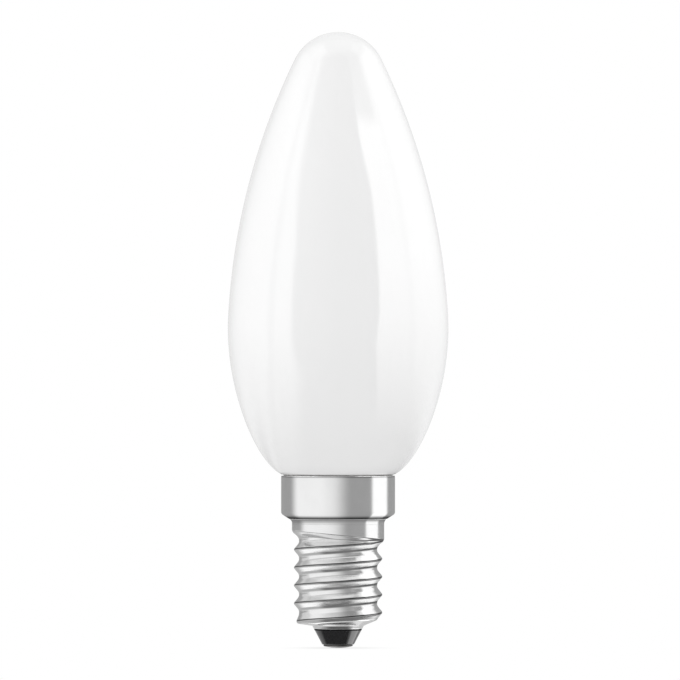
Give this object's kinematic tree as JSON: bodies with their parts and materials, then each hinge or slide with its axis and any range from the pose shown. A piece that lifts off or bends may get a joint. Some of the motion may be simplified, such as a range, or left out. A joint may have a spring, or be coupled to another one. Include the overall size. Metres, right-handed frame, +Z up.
{
  "type": "candle bulb",
  "caption": "Candle-shaped opal white lamp with a blown glass bulb and a skirted metal screw cap, with a rolled round thread, black insulator and centre contact.",
  "frame": {"origin": "lowest point of the centre contact, on the lamp's axis, where the lamp meets the spring of its holder", "axes": "+Z runs up the lamp's axis from the contact to the tip of the glass; X and Y are level, and a crest of the thread lies on the X axis"},
  "size_m": [0.0348, 0.0348, 0.097],
  "materials": {
    "opal_glass": "opal white, gloss",
    "cap_metal": "bright nickel plate on thin sheet",
    "cap_insulator": "black moulded glass, gloss",
    "contact_metal": "dull plated metal",
    "cement": "matt resin cement"
  },
  "bodies": {
    "root": {"glass_bulb": "opal_glass", "screw_shell": "cap_metal", "insulator": "cap_insulator", "centre_contact": "contact_metal", "basing_cement": "cement"}
  },
  "joints": []
}
